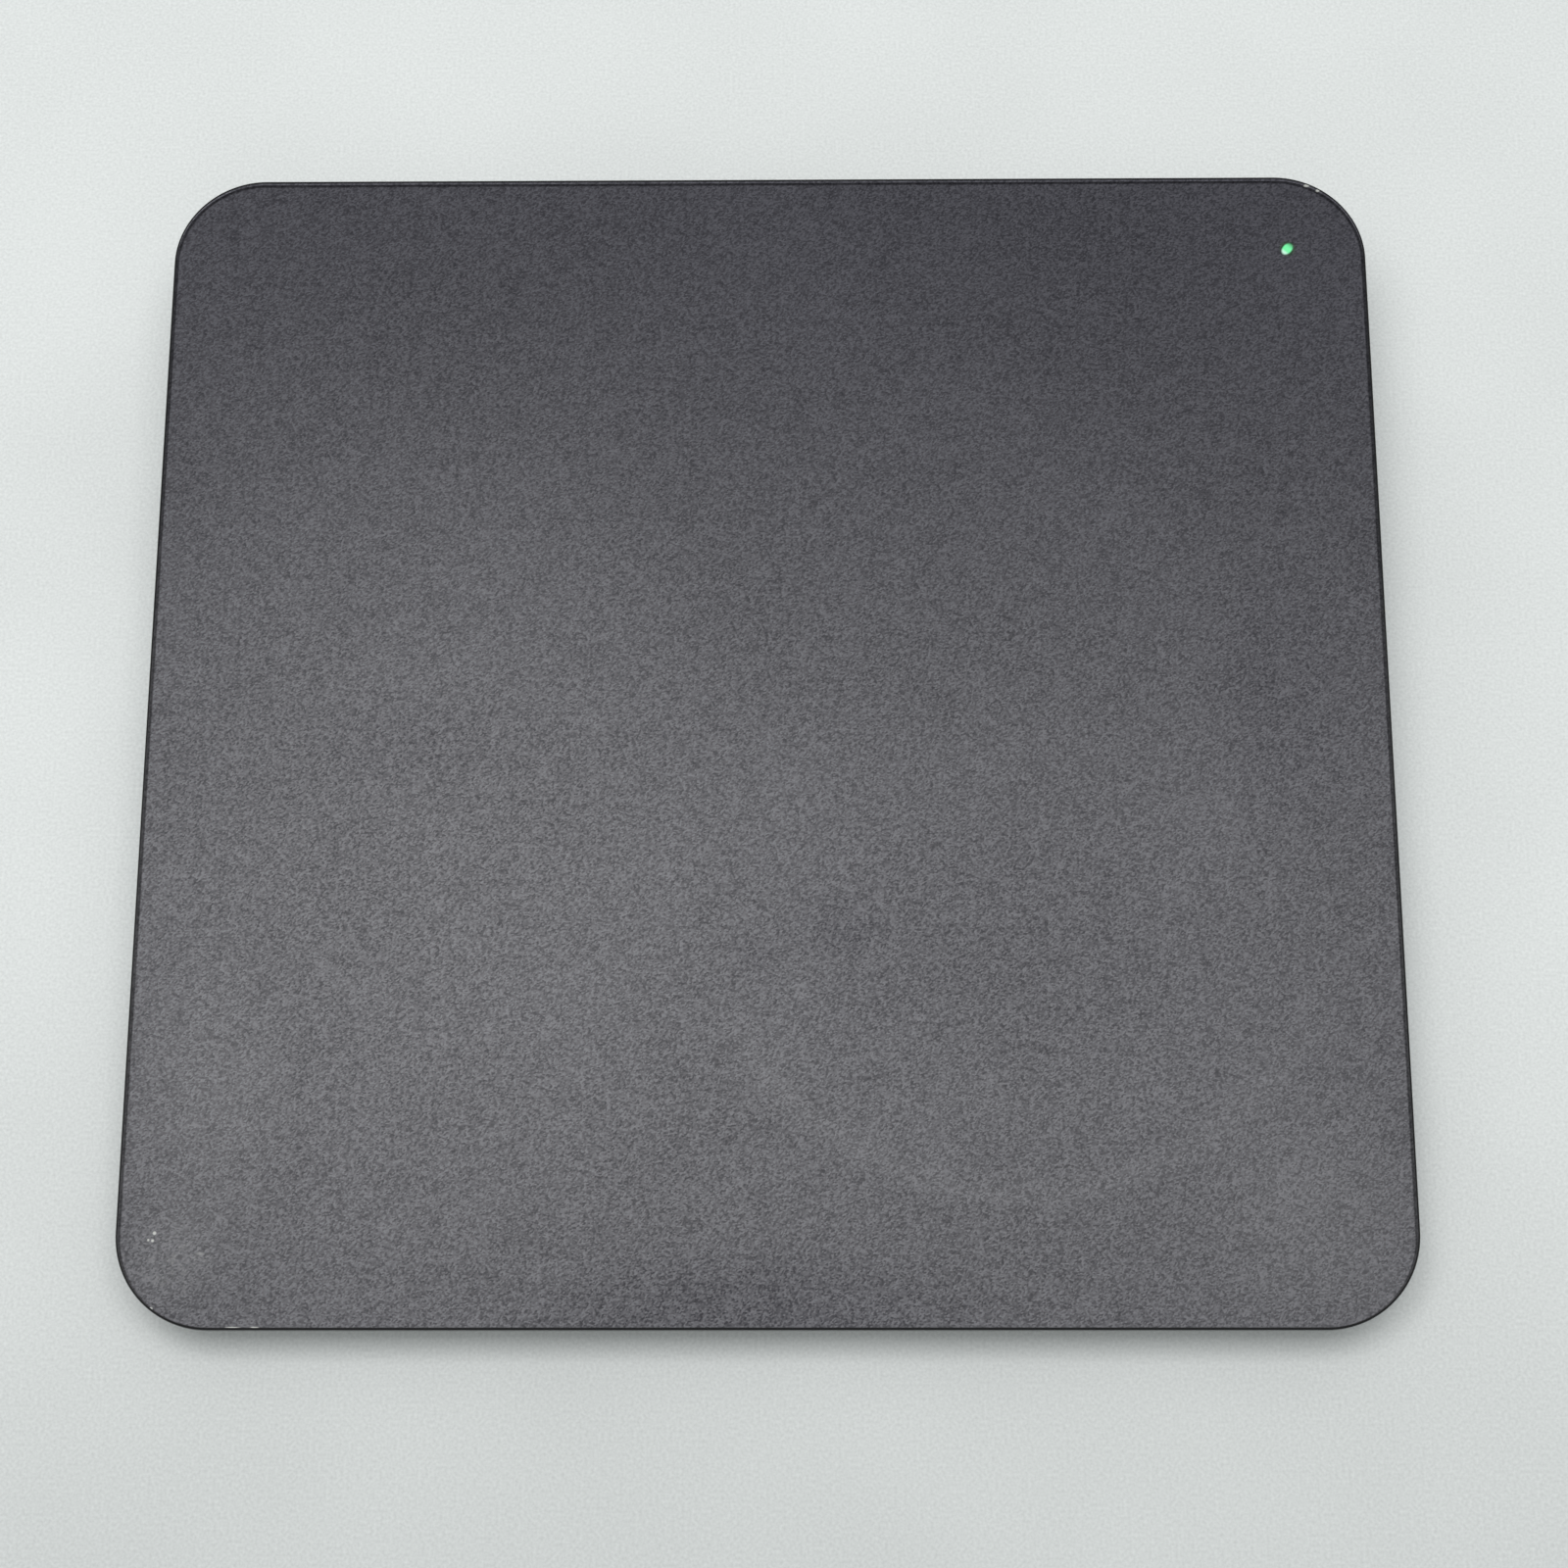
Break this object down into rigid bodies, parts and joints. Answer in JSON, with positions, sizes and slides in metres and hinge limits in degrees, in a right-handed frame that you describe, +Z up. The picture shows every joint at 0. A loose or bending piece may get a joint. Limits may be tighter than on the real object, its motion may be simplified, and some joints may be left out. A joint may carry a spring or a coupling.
{
  "type": "trackpad",
  "caption": "Flat wedge-shaped wireless trackpad: an etched glass touch plate with a status light, on a base with a power slider, a charging socket and sprung click feet.",
  "frame": {"origin": "on the desk plane, under the middle of the pad's outline", "axes": "+X to the right, +Y to the rear (the raised edge), +Z up"},
  "size_m": [0.134, 0.1288, 0.0138],
  "materials": {
    "etched_glass": "etched matt top with a polished rim",
    "clear_film": "clear adhesive",
    "black_tape": "matt",
    "circuit_board": "solder mask",
    "chip_resin": "moulded resin",
    "chip_ceramic": "ceramic with tinned ends",
    "ivory_resin": "moulded",
    "switch_resin": "moulded",
    "light_resin": "clear moulded",
    "black_resin": "fine spark texture",
    "silver_resin": "satin silver",
    "screw_steel": "zinc plated",
    "plated_steel": "nickel plated",
    "ribbon_film": "polyester film",
    "contact_gold": "gold plated",
    "cell_foil": "foil pouch",
    "lead_sleeve": "insulated wire",
    "stem_resin": "moulded",
    "foot_rubber": "moulded rubber"
  },
  "bodies": {
    "pad": {"touch_glass": "etched_glass", "bond_film": "clear_film", "frame_tape": "black_tape", "sensor_board": "circuit_board", "touch_controller": "chip_resin", "sensor_passives": "chip_ceramic", "sensor_socket": "ivory_resin", "click_switches": "switch_resin", "status_led": "light_resin", "light_guide": "light_resin", "top_frame": "black_resin", "base_shell": "silver_resin", "case_screws": "screw_steel", "main_board": "circuit_board", "board_screws": "screw_steel", "radio_controller": "chip_resin", "charge_controller": "chip_resin", "quartz_crystal": "plated_steel", "main_passives": "chip_ceramic", "main_socket": "ivory_resin", "sensor_ribbon": "ribbon_film", "usb_shell": "plated_steel", "usb_tongue": "black_resin", "usb_contacts": "contact_gold", "slide_switch_case": "switch_resin", "battery_cell": "cell_foil", "battery_tape": "clear_film", "battery_leads": "lead_sleeve", "battery_plug": "ivory_resin", "battery_socket": "ivory_resin"},
    "power_slider": {"power_knob": "black_resin", "switch_actuator": "stem_resin"},
    "click_foot_front_left": {"foot_pad_front_left": "foot_rubber", "foot_plunger_front_left": "black_resin", "click_stem_front_left": "stem_resin"},
    "click_foot_front_right": {"foot_pad_front_right": "foot_rubber", "foot_plunger_front_right": "black_resin", "click_stem_front_right": "stem_resin"},
    "click_foot_rear_left": {"foot_pad_rear_left": "foot_rubber", "foot_plunger_rear_left": "black_resin", "click_stem_rear_left": "stem_resin"},
    "click_foot_rear_right": {"foot_pad_rear_right": "foot_rubber", "foot_plunger_rear_right": "black_resin", "click_stem_rear_right": "stem_resin"}
  },
  "joints": [
    {"name": "power_slide", "type": "slide", "parent": "pad", "child": "power_slider", "axis": [0, -1, 0], "range_m": [0, 0.0025]},
    {"name": "click_front_left", "type": "slide", "parent": "pad", "child": "click_foot_front_left", "axis": [0, 0, 1], "range_m": [0, 0.0004], "stiffness_N_per_m": 2000, "springref_m": -0.0006},
    {"name": "click_front_right", "type": "slide", "parent": "pad", "child": "click_foot_front_right", "axis": [0, 0, 1], "range_m": [0, 0.0004], "stiffness_N_per_m": 2000, "springref_m": -0.0006},
    {"name": "click_rear_left", "type": "slide", "parent": "pad", "child": "click_foot_rear_left", "axis": [0, 0, 1], "range_m": [0, 0.0004], "stiffness_N_per_m": 2000, "springref_m": -0.0006},
    {"name": "click_rear_right", "type": "slide", "parent": "pad", "child": "click_foot_rear_right", "axis": [0, 0, 1], "range_m": [0, 0.0004], "stiffness_N_per_m": 2000, "springref_m": -0.0006}
  ]
}
